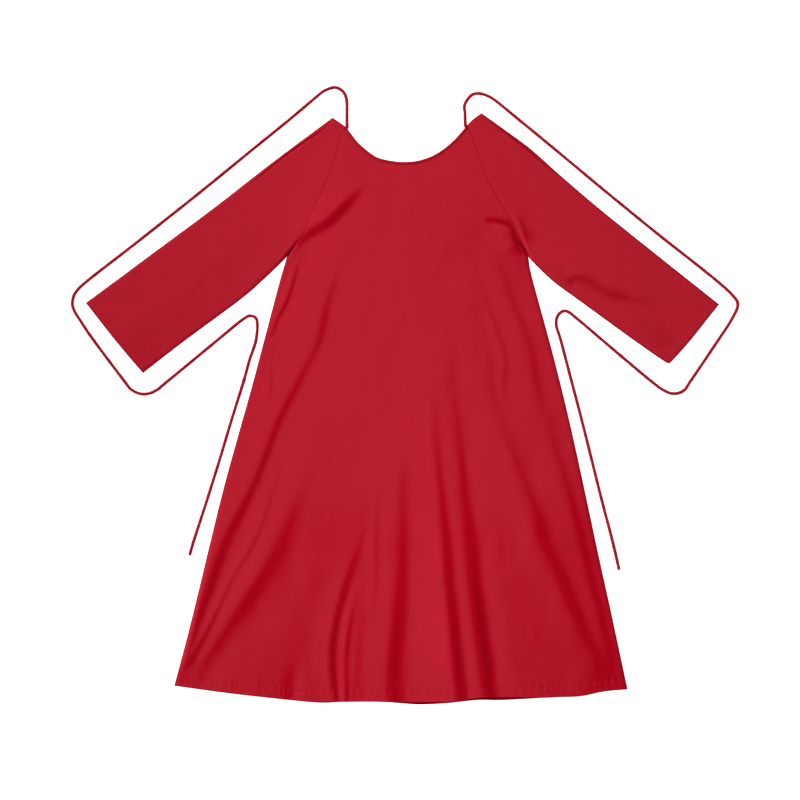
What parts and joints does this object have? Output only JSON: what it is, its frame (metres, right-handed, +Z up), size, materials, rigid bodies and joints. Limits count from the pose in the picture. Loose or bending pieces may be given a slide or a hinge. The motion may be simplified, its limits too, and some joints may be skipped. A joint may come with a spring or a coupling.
{
  "type": "midi dress with neck ties",
  "caption": "A-line midi dress with raglan sleeves, a wide round neck and two long neck ties, laid flat with its front up.",
  "frame": {"origin": "on the surface that the dress lies on, under the middle of its box without the ties", "axes": "+X across the sleeves to the right of the picture, +Y up the dress to the neck, +Z up out of the front"},
  "size_m": [1.336, 1.2325, 0.0102],
  "materials": {
    "cloth": "matte plain weave",
    "trim": "matte plain weave, folded narrow"
  },
  "bodies": {
    "root": {"front_panel": "cloth", "back_panel": "cloth", "left_sleeve": "cloth", "right_sleeve": "cloth", "neck_binding": "trim", "tie_left": "trim", "tie_right": "trim"}
  },
  "joints": []
}
